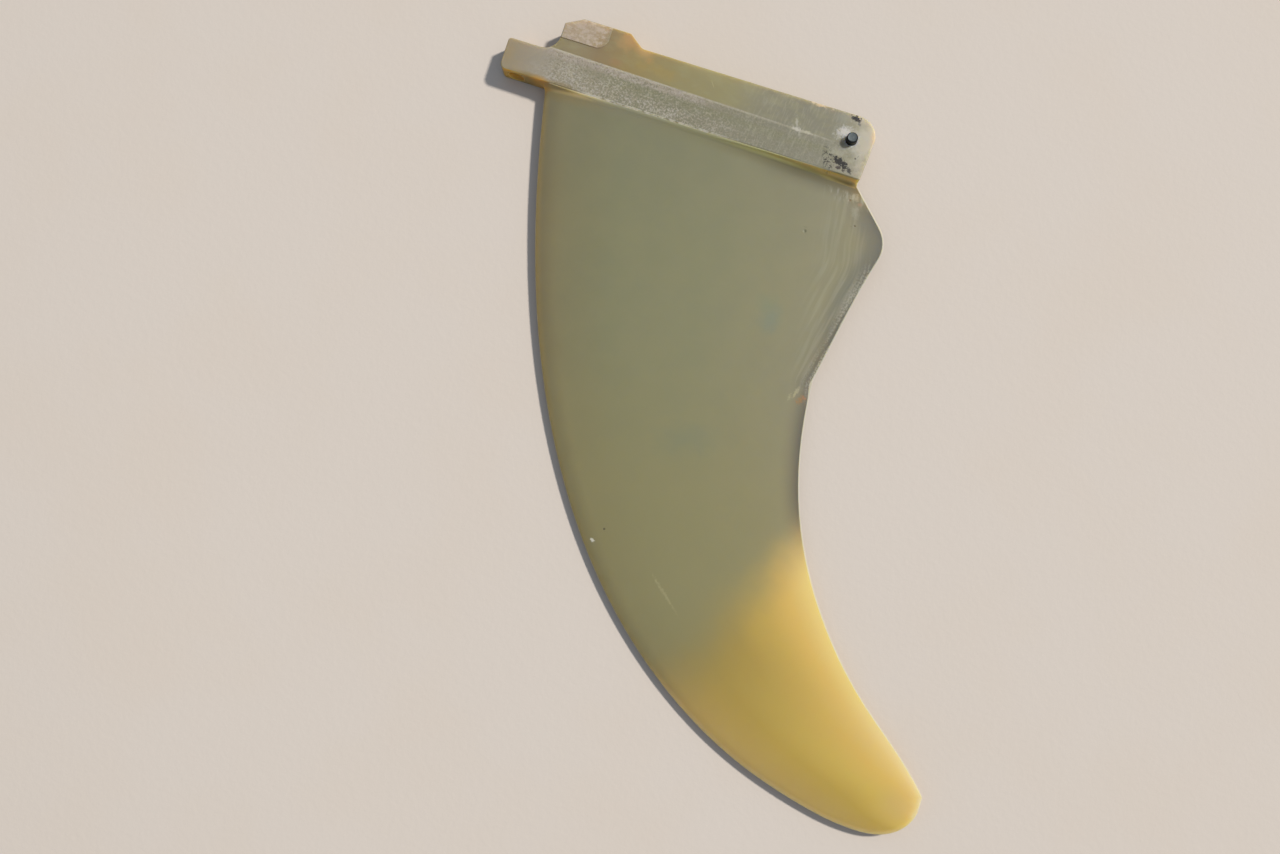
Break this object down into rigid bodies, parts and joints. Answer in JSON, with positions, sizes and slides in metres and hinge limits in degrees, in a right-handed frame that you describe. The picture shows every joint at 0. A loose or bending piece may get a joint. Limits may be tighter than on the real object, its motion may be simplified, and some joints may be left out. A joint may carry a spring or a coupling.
{
  "type": "windsurf fin",
  "caption": "Raked glass-laminate windsurf fin moulded with its slot-box base, with a front screw tab and a cross pin through the rear of the base.",
  "frame": {"origin": "on the cross pin's axis, at the middle of the fin's thickness", "axes": "+X aft along the base, +Y from the blade's tip towards the board, +Z out of the side that faces up"},
  "size_m": [0.2624, 0.2919, 0.016],
  "materials": {
    "laminate": "polished glass laminate",
    "pin": "dull dark metal"
  },
  "bodies": {
    "root": {"fin": "laminate", "cross_pin": "pin"}
  },
  "joints": []
}
